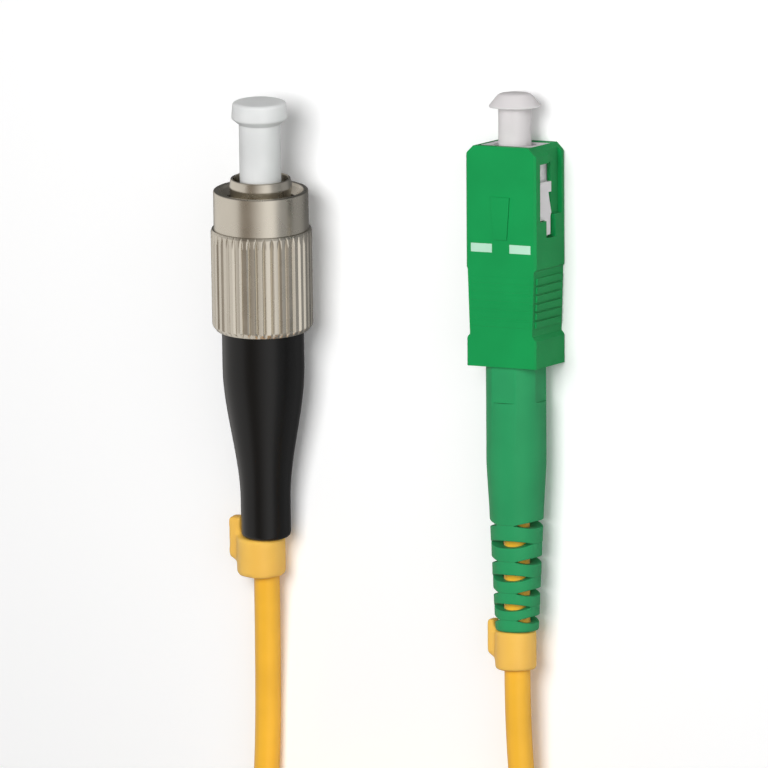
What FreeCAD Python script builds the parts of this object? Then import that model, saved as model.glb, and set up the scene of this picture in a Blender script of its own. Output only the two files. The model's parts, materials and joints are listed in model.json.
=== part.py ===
import FreeCAD, Part
import math
import os

import Sketcher
from FreeCAD import Placement, Rotation, Vector

# A simplex fibre optic patch cord. A round screw-on connector with a black boot lies on the left,
# a square push-pull connector with a green slotted boot on the right. Both wear their dust caps.
# Millimetres, +Z up. The noses point to +Y. The origin is on the floor, at the middle of the two
# connectors. Places along a connector are counted from its mouth, forward positive.

os.makedirs("parts", exist_ok=True)
doc = FreeCAD.newDocument("FibrePatchCord")
sheet = doc.addObject("Spreadsheet::Sheet", "sizes")


class Size:
    """A length with the sheet expression that gives it, so sketches follow the sheet."""

    def __init__(self, value, text):
        self.value = value
        self.text = text

    def joined(self, other, sign, value):
        return Size(value, f"({self.text} {sign} {as_size(other).text})")

    def __add__(self, other):
        return self.joined(other, "+", self.value + as_size(other).value)

    def __sub__(self, other):
        return self.joined(other, "-", self.value - as_size(other).value)

    def __mul__(self, other):
        return self.joined(other, "*", self.value * as_size(other).value)

    def __truediv__(self, other):
        return self.joined(other, "/", self.value / as_size(other).value)

    def __neg__(self):
        return Size(-self.value, f"(0 - {self.text})")


def as_size(number):
    return number if isinstance(number, Size) else Size(float(number), repr(float(number)))


ZERO = as_size(0)
row_count = 0


def dim(alias, value):
    """One driving dimension: a plain number in the sheet, under a name."""
    global row_count
    row_count += 1
    sheet.set(f"A{row_count}", alias)
    sheet.set(f"B{row_count}", str(value))
    sheet.setAlias(f"B{row_count}", alias)
    return Size(float(value), f"sizes.{alias}")


# Fits
running_gap = dim("running_gap", 0.05)
sliding_gap = dim("sliding_gap", 0.1)
loose_gap = dim("loose_gap", 0.3)

# Cable
jacket_d = dim("jacket_diameter", 3.0)
buffer_d = dim("buffer_diameter", 0.9)
cord_length = dim("cord_length", 1000)
round_run_length = dim("round_run_length", 11)
square_lead_length = dim("square_lead_length", 8.5)
coil_turns = 8.5
coil_layers = 3
coil_drop = dim("coil_centre_behind_square_mouth", 98)
tie_angle = 18
tie_thickness = dim("coil_tie_thickness", 0.5)

# Square connector's housing. Its other sizes are shares of these three.
housing_width = dim("housing_width", 9.0)
housing_height = dim("housing_height", 7.4)
housing_length = dim("housing_length", 25.4)

# Ferrule, its holder, spring and crimp, alike in both connectors and sized to fit the square one
ferrule_d = dim("ferrule_diameter", 2.5)
ferrule_chamfer = dim("ferrule_tip_chamfer", 0.4)
holder_flange_d = housing_height * 0.595
holder_flange_length = dim("holder_flange_length", 2.15)
holder_tube_d = holder_flange_d * 0.68
holder_tube_length = dim("holder_tube_length", 3.3)
ferrule_seat = holder_flange_length - loose_gap
lip_thickness = dim("lip_thickness", 0.9)
lip_bore_gap = dim("lip_bore_gap", 0.2)
ferrule_travel = dim("ferrule_travel", 1.0)
spring_length = dim("spring_length", 3.5)
spring_wire_d = dim("spring_wire_diameter", 0.4)
spring_half_turns = 9
shank_d = housing_height * 0.527
shank_length = dim("shank_length", 5.0)
yarn_thickness = dim("yarn_thickness", 0.2)
crimp_wall = dim("crimp_wall", 0.35)
crimp_neck_wall = dim("crimp_neck_wall", 0.5)
crimp_neck_length = dim("crimp_neck_length", 3.2)
crimp_pocket_r = shank_d / 2 + yarn_thickness + crimp_wall

# Round connector
nut_knurl_d = dim("nut_knurl_diameter", 11.7)
nut_collar_d = dim("nut_collar_diameter", 11.0)
nut_collar_length = dim("nut_collar_length", 4.5)
nut_length = dim("nut_length", 16.5)
nut_edge = dim("nut_edge_chamfer", 0.6)
nut_mouth_chamfer = dim("nut_mouth_chamfer", 0.8)
nut_grooves = 40
groove_depth = dim("nut_groove_depth", 0.2)
thread_bore_d = dim("nut_thread_bore", 8.3)
thread_depth = dim("nut_thread_depth", 5.0)
nut_shoulder_length = dim("nut_shoulder_length", 1.5)
sleeve_front = dim("sleeve_reach_past_nut", 1.4)
sleeve_d = dim("sleeve_diameter", 7.3)
sleeve_bore_d = dim("sleeve_bore", 6.4)
sleeve_rim = dim("sleeve_rim_chamfer", 0.15)
barrel_d = dim("barrel_diameter", 6.3)
barrel_reach = dim("barrel_reach_behind_mouth", 11.2)
body_flange_d = dim("body_flange_diameter", 7.8)
body_flange_length = dim("body_flange_length", 1.2)
round_lip_depth = dim("round_lip_depth", 3.1)
key_width = dim("round_key_width", 2.0)
key_height = dim("round_key_height", 0.3)
key_length = dim("round_key_length", 3.0)
rear_flange_length = dim("rear_body_flange_length", 1.0)
rear_collar_r = crimp_pocket_r + sliding_gap
rear_collar_length = dim("rear_body_collar_length", 0.8)
fc_ferrule_tip = dim("round_ferrule_tip", 3.9)
fc_boot_head_d = dim("round_boot_head_diameter", 9.5)
fc_boot_tail_d = dim("round_boot_tail_diameter", 5.8)
fc_boot_length = dim("round_boot_length", 29.2)
fc_boot_head_length = dim("round_boot_head_length", 8.4)
fc_boot_taper_length = dim("round_boot_taper_length", 13.4)
boot_edge = dim("boot_end_chamfer", 0.5)
nut_rear_bore_d = fc_boot_head_d + loose_gap * 2

# Square connector
housing_front_length = housing_length * 0.551
housing_block_length = housing_length * 0.146
housing_corner = dim("housing_corner_chamfer", 0.25)
housing_nose = dim("housing_nose_chamfer", 1.0)
waist_step = dim("waist_step", 0.5)
waist_front_step = dim("waist_front_step", 0.25)
block_step = dim("rear_block_step", 0.05)
front_side_wall = dim("front_side_wall", 1.0)
front_face_wall = housing_height * 0.1216
rear_face_wall = dim("rear_face_wall", 0.5)
front_cavity_width = housing_width - front_side_wall * 2
front_cavity_height = housing_height - front_face_wall * 2
front_cavity_depth = housing_front_length + sliding_gap
rear_cavity_width = housing_width * 0.75
rear_cavity_height = housing_height - rear_face_wall * 2
grip_ridges = 6
grip_pitch = housing_length * 0.0394
grip_ridge_width = grip_pitch * 0.75
grip_ridge_height = dim("grip_ridge_height", 0.2)
grip_band_height = housing_height * 0.84
key_face_ridge_height = dim("key_face_ridge_height", 0.03)
key_rib_width = housing_width * 0.267
key_rib_length = housing_length * 0.193
key_rib_height = dim("key_rib_height", 0.18)
key_rib_narrowing = 0.7
mark_width = housing_width * 0.3
mark_gap = housing_width * 0.25
mark_length = dim("mark_length", 1.0)
mark_depth = dim("mark_depth", 0.2)
channel_depth = dim("side_channel_depth", 0.55)
channel_length = housing_length * 0.315
channel_top = housing_height * 0.04
window_top = housing_height * 0.338
tail_slot_top = housing_height * 0.128
frame_setback = dim("plug_frame_setback", 0.1)
frame_bore_d = front_cavity_height - loose_gap * 2
square_lip_depth = dim("square_lip_depth", 4.3)
latch_reach = housing_width / 2 - loose_gap
latch_setback = dim("latch_setback", 2.2)
latch_lug_length = dim("latch_lug_length", 1.2)
latch_lug_height = dim("latch_lug_height", 0.7)
latch_flare_length = dim("latch_flare_length", 0.7)
stop_ring_gap = dim("stop_ring_gap", 0.5)
stop_ring_inset = dim("stop_ring_inset", 6.6)
sc_ferrule_tip = dim("square_ferrule_tip", 1.0)
ferrule_slope = dim("angled_face_setback", 0.36)
sc_boot_inset = dim("square_boot_inset", 5.8)
sc_boot_length = dim("square_boot_length", 36.7)
sc_boot_head_length = dim("square_boot_head_length", 22.3)
sc_boot_flat_length = dim("square_boot_flat_length", 10.0)
sc_boot_neck_length = dim("square_boot_neck_length", 5.0)
sc_boot_flat_width = rear_cavity_width - sliding_gap * 4
sc_boot_flat_height = rear_cavity_height - sliding_gap * 2
sc_boot_d = (sc_boot_flat_width + sc_boot_flat_height) * 0.55
sc_boot_shoulder_d = sc_boot_d * 0.913
sc_boot_tail_d = sc_boot_d * 0.725
boot_slots = 7
slot_width = dim("boot_slot_width", 1.0)
slot_setback = dim("boot_slot_setback", 1.9)
slot_pitch = dim("boot_slot_pitch", 2.2)
slot_shrink = 0.93
slot_web = dim("boot_slot_web", 2.2)

# Dust caps and marker clips
cap_bore_gap = dim("cap_bore_gap", 0.02)
fc_cap_stem_d = dim("round_cap_stem_diameter", 4.8)
fc_cap_head_d = dim("round_cap_head_diameter", 6.5)
fc_cap_head_length = dim("round_cap_head_length", 2.6)
fc_cap_top = dim("round_cap_top", 10.4)
sc_cap_stem_d = ferrule_d + (frame_bore_d - ferrule_d) * 0.52
sc_cap_head_d = dim("square_cap_head_diameter", 5.9)
sc_cap_head_length = dim("square_cap_head_length", 1.7)
sc_cap_top = dim("square_cap_top", 5.9)
sc_cap_rim = dim("square_cap_rim", 0.15)
cap_edge = dim("cap_edge", 0.5)
cap_chamfer = dim("round_cap_head_chamfer", 0.7)
cap_roof = dim("cap_roof", 1.6)
fc_clip_d = dim("round_clip_diameter", 5.7)
fc_clip_shift = dim("round_clip_shift", 0.7)
fc_tab_width = dim("round_clip_tab_width", 1.6)
fc_tab_front = dim("round_clip_tab_front", 2.0)
sc_clip_d = dim("square_clip_diameter", 4.8)
sc_clip_shift = dim("square_clip_shift", 0.2)
sc_tab_width = dim("square_clip_tab_width", 1.0)
sc_tab_front = dim("square_clip_tab_front", 1.2)
clip_length = dim("clip_length", 4.6)
clip_slit = dim("clip_slit", 1.6)
tab_height = dim("clip_tab_height", 1.8)
tab_rear = dim("clip_tab_rear", 2.8)

# Layout
spacing = dim("connector_spacing", 31.1)
fc_setback = dim("round_mouth_setback", 6.5)
fc_turn = math.radians(-2.7)

# Places behind a mouth or below its middle are negative
fc_lip_front = -round_lip_depth
fc_barrel_end = -barrel_reach
fc_boot_front = fc_barrel_end - rear_flange_length
fc_boot_head_end = fc_boot_front - fc_boot_head_length
fc_boot_taper_end = fc_boot_head_end - fc_boot_taper_length
fc_boot_end = fc_boot_front - fc_boot_length
key_rib_front = -housing_length * 0.228
mark_front = -housing_length * 0.441
channel_bottom = -housing_height * 0.392
window_front = -housing_length * 0.079
window_rear = -housing_length * 0.339
window_bottom = -housing_height * 0.155
tail_slot_rear = -housing_length * 0.417
tail_slot_bottom = -housing_height * 0.176
frame_front = -frame_setback
frame_end = sliding_gap * 2 - front_cavity_depth
sc_lip_front = -square_lip_depth
stop_ring_end = stop_ring_inset - housing_length
sc_boot_front = sc_boot_inset - housing_length
sc_boot_head_end = sc_boot_front - sc_boot_head_length
sc_boot_end = sc_boot_front - sc_boot_length
slot_first = sc_boot_head_end - slot_setback

doc.recompute()
pieces = []


def origin_feature(body, role):
    """One of a body's own origin planes or axes."""
    return next(item for item in body.Origin.OriginFeatures if item.Role == role)


def new_body(name, placement):
    body = doc.addObject("PartDesign::Body", name)
    body.Label = name
    body.Placement = placement
    pieces.append(body)
    return body


def hold_size(sketch, constraint, label, size):
    """Adds a size constraint that follows the sheet."""
    index = sketch.addConstraint(constraint)
    sketch.renameConstraint(index, label)
    sketch.setExpression(f"Constraints.{label}", size.text)


def fix_point(sketch, curve, vertex, place):
    """Dimensions a curve's start or centre from the sketch's origin."""
    for kind, axis, size in (("DistanceX", -2, place[0]), ("DistanceY", -1, place[1])):
        size = as_size(size)
        if size.text == ZERO.text:
            sketch.addConstraint(Sketcher.Constraint("PointOnObject", curve, vertex, axis))
            continue
        constraint = Sketcher.Constraint(kind, -1, 1, curve, vertex, size.value)
        hold_size(sketch, constraint, f"{kind[-1].lower()}{curve}", size)


def add_outline(sketch, corners):
    """A closed outline of straight sides through the given corners."""
    first = sketch.GeometryCount
    count = len(corners)
    places = [Vector(as_size(x).value, as_size(y).value, 0) for x, y in corners]
    for index in range(count):
        sketch.addGeometry(Part.LineSegment(places[index], places[(index + 1) % count]), False)
    for index in range(count):
        after = first + (index + 1) % count
        sketch.addConstraint(Sketcher.Constraint("Coincident", first + index, 2, after, 1))
    for index, corner in enumerate(corners):
        fix_point(sketch, first + index, 1, corner)


def add_circle(sketch, radius, centre=(ZERO, ZERO)):
    """A circle held by its centre and radius."""
    curve = sketch.GeometryCount
    place = Vector(as_size(centre[0]).value, as_size(centre[1]).value, 0)
    sketch.addGeometry(Part.Circle(place, Vector(0, 0, 1), radius.value), False)
    fix_point(sketch, curve, 3, centre)
    hold_size(sketch, Sketcher.Constraint("Radius", curve, radius.value), f"radius{curve}", radius)


def new_sketch(body, role, offset=ZERO):
    """A sketch on one of the body's origin planes, moved along its normal by the offset."""
    sketch = body.newObject("Sketcher::SketchObject", f"{body.Name}_sketch")
    sketch.AttachmentSupport = (origin_feature(body, role), [""])
    sketch.MapMode = "FlatFace"
    if as_size(offset).text != ZERO.text:
        sketch.setExpression(".AttachmentOffset.Base.z", as_size(offset).text)
    return sketch


def rectangle(low, high):
    """The corners of an upright rectangle."""
    return [(low[0], low[1]), (high[0], low[1]), (high[0], high[1]), (low[0], high[1])]


def turned(name, placement, *outlines):
    """A turned piece: outlines of (radius, place along the axis), revolved about the axis."""
    body = new_body(name, placement)
    sketch = new_sketch(body, "XY_Plane")
    for corners in outlines:
        add_outline(sketch, corners)
    turn = body.newObject("PartDesign::Revolution", f"{name}_turned")
    turn.Profile = sketch
    turn.ReferenceAxis = (sketch, ["V_Axis"])
    turn.Angle = 360
    sketch.Visibility = False
    doc.recompute()
    return body


def volume(body):
    doc.recompute()
    return body.Shape.Volume


def extrude(body, sketch, kind, length, both=False, flip=False):
    """A pad or pocket of the sketch. Both sides of its plane, or one side, which may be flipped."""
    before = body.Shape.Volume if body.Tip else 0.0
    feature = body.newObject(f"PartDesign::{kind}", f"{body.Name}_{kind.lower()}")
    feature.Profile = sketch
    feature.setExpression("Length", as_size(length).text)
    feature.Midplane = both
    feature.Reversed = flip
    sketch.Visibility = False
    after = volume(body)
    grew = after > before + 1e-6
    if grew != (kind == "Pad") or abs(after - before) < 1e-6:
        raise RuntimeError(f"{feature.Name} changed nothing or the wrong way: {before} {after}")
    return feature


# Connector axes. The round one leans back on its nut's rear edge and its marker clip's rear edge,
# and its nose turns a little towards the square one.
fc_clip_end = fc_boot_end - clip_length
sc_clip_end = sc_boot_end - clip_length
clip_foot = math.sqrt((fc_clip_d.value / 2) ** 2 - (clip_slit.value / 2) ** 2)
nut_foot_place = -nut_length.value + nut_edge.value
fc_lean = math.atan2(nut_knurl_d.value / 2 - clip_foot, nut_foot_place - fc_clip_end.value)
fc_mouth_z = clip_foot * math.cos(fc_lean) - fc_clip_end.value * math.sin(fc_lean)
fc_left_reach = (nut_knurl_d.value / 2 * math.cos(fc_turn)
                 + nut_foot_place * math.cos(fc_lean) * math.sin(fc_turn))

half_span = (spacing.value + fc_left_reach + housing_width.value / 2) / 2
sc_mouth_y = -(sc_cap_top.value + sc_clip_end.value) / 2
fc_mouth_y = sc_mouth_y - fc_setback.value
fc_x = -half_span + fc_left_reach
sc_x = half_span - housing_width.value / 2
leaning = Rotation(Vector(1, 0, 0), math.degrees(fc_lean))
turning = Rotation(Vector(0, 0, 1), math.degrees(fc_turn))
fc_frame = Placement(Vector(fc_x, fc_mouth_y, fc_mouth_z), turning.multiply(leaning))
sc_frame = Placement(Vector(sc_x, sc_mouth_y, housing_height.value / 2), Rotation())


def make_ferrule(name, frame, tip, lip_rear, slope=None):
    """A ceramic ferrule, with a bevelled tip and, on the square connector, a slightly sloping face."""
    rear = lip_rear - running_gap - ferrule_seat
    radius = ferrule_d / 2
    body = turned(name, frame, [(ZERO, rear), (radius, rear), (radius, tip - ferrule_chamfer),
                                (radius - ferrule_chamfer, tip), (ZERO, tip)])
    if slope:
        sketch = new_sketch(body, "XY_Plane")
        add_outline(sketch, [(-radius, tip), (radius, tip - slope),
                             (radius, tip + slope), (-radius, tip + slope)])
        extrude(body, sketch, "Pocket", ferrule_d * 2, both=True)
    return body


def make_holder(name, frame, lip_rear):
    """The ferrule's metal holder: a flange that the spring pushes, and a tube inside the spring."""
    front = lip_rear - running_gap
    middle = front - holder_flange_length
    rear = middle - holder_tube_length
    seat = front - ferrule_seat
    return turned(name, frame, [
        (ferrule_d / 2, front), (holder_flange_d / 2, front), (holder_flange_d / 2, middle),
        (holder_tube_d / 2, middle), (holder_tube_d / 2, rear), (buffer_d / 2, rear),
        (buffer_d / 2, seat), (ferrule_d / 2, seat)])


def make_buffer(name, frame, lip_rear, shank_end):
    """The buffered fibre behind the ferrule. It stops short of the jacket by more than the travel."""
    front = lip_rear - running_gap - ferrule_seat
    rear = shank_end - loose_gap + ferrule_travel + loose_gap
    return turned(name, frame, [(ZERO, rear), (buffer_d / 2, rear), (buffer_d / 2, front), (ZERO, front)])


def make_yarn(name, frame, shank_start, shank_end):
    """The cable's yarn, folded back over the shank and held by the crimp sleeve."""
    inner = shank_d / 2
    outer = inner + yarn_thickness
    return turned(name, frame, rectangle((inner, shank_end), (outer, shank_start - sliding_gap)))


def make_crimp(name, frame, shank_start, shank_end):
    """The crimp sleeve: wide over the yarn, and a neck closed on the jacket."""
    bore = shank_d / 2 + yarn_thickness
    outer = bore + crimp_wall
    front = shank_start - loose_gap
    step = shank_end - loose_gap
    shoulder = step - crimp_wall
    neck = jacket_d / 2 + crimp_neck_wall
    rear = step - crimp_neck_length
    return turned(name, frame, [(bore, front), (outer, front), (outer, shoulder), (neck, shoulder),
                                (neck, rear), (jacket_d / 2, rear), (jacket_d / 2, step), (bore, step)])


def make_spring(name, frame, lip_rear):
    """The coil spring behind the holder's flange, swept along a helix of half turns."""
    front = (lip_rear - running_gap - holder_flange_length).value
    wire = spring_wire_d.value
    radius = (holder_flange_d.value - wire) / 2 - sliding_gap.value
    rise = (spring_length.value - wire) / spring_half_turns
    half_turn = Part.makeHelix(rise * 2, rise, radius).Edges[0]
    edges = []
    for index in range(spring_half_turns):
        edge = half_turn.copy()
        edge.rotate(Vector(0, 0, 0), Vector(0, 0, 1), 180 * index)
        edge.translate(Vector(0, 0, rise * index))
        edges.append(edge)
    section = Part.Wire(Part.Circle(Vector(radius, 0, 0), Vector(0, 1, 0), wire / 2).toShape())
    solid = Part.Wire(edges).makePipeShell([section], True, True)
    solid.rotate(Vector(0, 0, 0), Vector(1, 0, 0), -90)
    solid.translate(Vector(0, front - spring_length.value + wire / 2, 0))
    feature = doc.addObject("Part::Feature", name)
    feature.Label = name
    feature.Shape = solid
    feature.Placement = frame.multiply(feature.Placement)
    pieces.append(feature)
    return feature


def make_clip(name, frame, diameter, shift, tab_width, tab_front, boot_end, boot_tail_d):
    """The marker clip: a split ring on the cable behind the boot, with a thumb tab on its left."""
    rear = boot_end - clip_length
    tab_inner = -boot_tail_d / 2 - sliding_gap
    tab_outer = tab_inner - tab_width
    body = new_body(name, frame)
    ring = new_sketch(body, "XZ_Plane", -boot_end)
    add_circle(ring, diameter / 2, (-shift, ZERO))
    extrude(body, ring, "Pad", clip_length)
    tab = new_sketch(body, "XY_Plane")
    add_outline(tab, [(tab_outer, boot_end - tab_rear), (-shift, rear), (-shift, boot_end),
                      (tab_inner, boot_end), (tab_inner, boot_end + tab_front),
                      (tab_outer, boot_end + tab_front)])
    extrude(body, tab, "Pad", tab_height, both=True)
    bore = new_sketch(body, "XZ_Plane", -boot_end)
    add_circle(bore, jacket_d / 2)
    extrude(body, bore, "Pocket", clip_length * 2, both=True)
    slit = new_sketch(body, "XY_Plane")
    half = clip_slit / 2
    add_outline(slit, rectangle((-shift - half, rear), (-shift + half, boot_end)))
    extrude(body, slit, "Pocket", diameter)
    return body


def make_cable_end(name, frame, shank_end, clip_end):
    """The jacketed cable that the connector holds, from the crimp's neck to the clip's rear."""
    front = shank_end - loose_gap
    return turned(name, frame, rectangle((ZERO, clip_end), (jacket_d / 2, front)))


# Round connector, from the outside in
fc_lip_rear = fc_lip_front - lip_thickness
fc_flange_front = -thread_depth + sliding_gap + body_flange_length
fc_rear_front = fc_lip_rear - running_gap - holder_flange_length - spring_length
fc_shank_start = fc_boot_front - rear_collar_length
fc_shank_end = fc_shank_start - shank_length
shoulder_rear = -thread_depth - nut_shoulder_length


def make_coupling_nut():
    """The knurled coupling nut: threaded mouth, inner shoulder behind the body's flange, rear skirt."""
    knurl_r = nut_knurl_d / 2
    collar_r = nut_collar_d / 2
    bore_r = thread_bore_d / 2
    shoulder_r = barrel_d / 2 + running_gap
    skirt_r = nut_rear_bore_d / 2
    knurl_front = -nut_collar_length
    body = turned("fc_coupling_nut", fc_frame, [
        (bore_r + nut_mouth_chamfer, ZERO), (collar_r - nut_edge / 3, ZERO), (collar_r, -nut_edge / 3),
        (collar_r, knurl_front), (knurl_r - nut_edge / 3, knurl_front),
        (knurl_r, knurl_front - nut_edge / 3), (knurl_r, -nut_length + nut_edge),
        (knurl_r - nut_edge / 2, -nut_length), (skirt_r, -nut_length), (skirt_r, shoulder_rear),
        (shoulder_r, shoulder_rear), (shoulder_r, -thread_depth),
        (bore_r, -thread_depth), (bore_r, -nut_mouth_chamfer)])
    groove = new_sketch(body, "XZ_Plane", nut_length)
    add_outline(groove, [(ZERO, knurl_r - groove_depth), (groove_depth, knurl_r + sliding_gap),
                         (-groove_depth, knurl_r + sliding_gap)])
    cut = extrude(body, groove, "Pocket", nut_length - nut_collar_length - loose_gap, flip=False)
    pattern = body.newObject("PartDesign::PolarPattern", "fc_coupling_nut_knurl")
    pattern.Originals = [cut]
    pattern.Axis = (origin_feature(body, "Y_Axis"), [""])
    pattern.Angle = 360
    pattern.Occurrences = nut_grooves
    body.Tip = pattern
    doc.recompute()
    return body


def make_plug_body():
    """The inner plug body: front sleeve with its key, flange, lip for the ferrule holder, barrel."""
    sleeve_r = sleeve_d / 2
    bore_r = sleeve_bore_d / 2
    flange_r = body_flange_d / 2
    barrel_r = barrel_d / 2
    seat_r = holder_flange_d / 2 + sliding_gap
    flange_rear = fc_flange_front - body_flange_length
    lip_r = ferrule_d / 2 + lip_bore_gap
    body = turned("fc_plug_body", fc_frame, [
        (bore_r, sleeve_front - sleeve_rim), (bore_r + sleeve_rim, sleeve_front),
        (sleeve_r - sleeve_rim, sleeve_front), (sleeve_r, sleeve_front - sleeve_rim),
        (sleeve_r, fc_flange_front), (flange_r, fc_flange_front), (flange_r, flange_rear),
        (barrel_r, flange_rear), (barrel_r, fc_barrel_end), (seat_r, fc_barrel_end), (seat_r, fc_lip_rear),
        (lip_r, fc_lip_rear), (lip_r, fc_lip_front), (bore_r, fc_lip_front)])
    key = new_sketch(body, "XZ_Plane", -fc_flange_front - key_length)
    half = key_width / 2
    add_outline(key, rectangle((-half, -sleeve_r - key_height), (half, -bore_r - sliding_gap)))
    extrude(body, key, "Pad", key_length)
    return body


def make_rear_body():
    """The rear body: spigot in the barrel, flange, collar for the boot and shank for the crimp."""
    spigot_r = holder_flange_d / 2 + sliding_gap
    well_r = holder_tube_d / 2 + loose_gap
    well_end = fc_rear_front - ferrule_travel - loose_gap
    bore_r = buffer_d / 2 + loose_gap
    return turned("fc_rear_body", fc_frame, [
        (well_r, fc_rear_front), (spigot_r, fc_rear_front), (spigot_r, fc_barrel_end),
        (barrel_d / 2, fc_barrel_end), (barrel_d / 2, fc_boot_front), (rear_collar_r, fc_boot_front),
        (rear_collar_r, fc_shank_start), (shank_d / 2, fc_shank_start), (shank_d / 2, fc_shank_end),
        (bore_r, fc_shank_end), (bore_r, well_end), (well_r, well_end)])


def make_round_boot():
    """The smooth black boot: a wide head under the nut's skirt, an S-shaped taper, a slim tail."""
    head_r = fc_boot_head_d / 2
    tail_r = fc_boot_tail_d / 2
    jacket_r = jacket_d / 2 + sliding_gap
    pocket_end = fc_shank_end - loose_gap - crimp_neck_length - sliding_gap
    taper = fc_boot_head_end - fc_boot_taper_end
    narrowing = head_r - tail_r
    curve = []
    for along, share in ((0.16, 0.14), (0.34, 0.38), (0.52, 0.62), (0.70, 0.81), (0.86, 0.94)):
        curve.append((head_r - narrowing * share, fc_boot_head_end - taper * along))
    return turned("fc_boot", fc_frame, [
        (rear_collar_r, fc_boot_front), (head_r - boot_edge / 2, fc_boot_front),
        (head_r, fc_boot_front - boot_edge / 2), (head_r, fc_boot_head_end)] + curve + [
        (tail_r, fc_boot_taper_end), (tail_r, fc_boot_end + boot_edge), (tail_r - boot_edge, fc_boot_end),
        (jacket_r, fc_boot_end), (jacket_r, pocket_end), (rear_collar_r, pocket_end)])


def make_round_cap():
    """The round connector's dust cap: a bored stem over the ferrule and a flat head."""
    bore_r = ferrule_d / 2 + cap_bore_gap
    stem_r = fc_cap_stem_d / 2
    head_r = fc_cap_head_d / 2
    head_rear = fc_cap_top - fc_cap_head_length
    rear = fc_lip_front + sliding_gap
    bore_end = fc_ferrule_tip + cap_roof
    return turned("fc_dust_cap", fc_frame, [
        (bore_r, rear), (stem_r - cap_edge / 2, rear), (stem_r, rear + cap_edge / 2), (stem_r, head_rear),
        (head_r, head_rear + cap_chamfer), (head_r - cap_edge / 4, fc_cap_top - cap_edge),
        (head_r - cap_edge / 2, fc_cap_top - cap_edge / 4), (head_r - cap_edge, fc_cap_top),
        (ZERO, fc_cap_top), (ZERO, bore_end), (bore_r, bore_end)])


make_coupling_nut()
make_plug_body()
make_ferrule("fc_ferrule", fc_frame, fc_ferrule_tip, fc_lip_rear)
make_holder("fc_ferrule_flange", fc_frame, fc_lip_rear)
make_spring("fc_spring", fc_frame, fc_lip_rear)
make_rear_body()
make_yarn("fc_aramid_yarn", fc_frame, fc_shank_start, fc_shank_end)
make_crimp("fc_crimp_sleeve", fc_frame, fc_shank_start, fc_shank_end)
make_buffer("fc_fibre_buffer", fc_frame, fc_lip_rear, fc_shank_end)
make_round_boot()
make_round_cap()
make_clip("fc_marker_clip", fc_frame, fc_clip_d, fc_clip_shift, fc_tab_width, fc_tab_front, fc_boot_end,
          fc_boot_tail_d)
make_cable_end("fc_cable_end", fc_frame, fc_shank_end, fc_clip_end)

# Square connector, from the outside in
sc_lip_rear = sc_lip_front - lip_thickness
stop_front = sc_lip_rear - running_gap - holder_flange_length - spring_length
sc_shank_start = stop_ring_end
sc_shank_end = sc_shank_start - shank_length
waist_front = -housing_front_length
waist_end = -housing_length + housing_block_length


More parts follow.
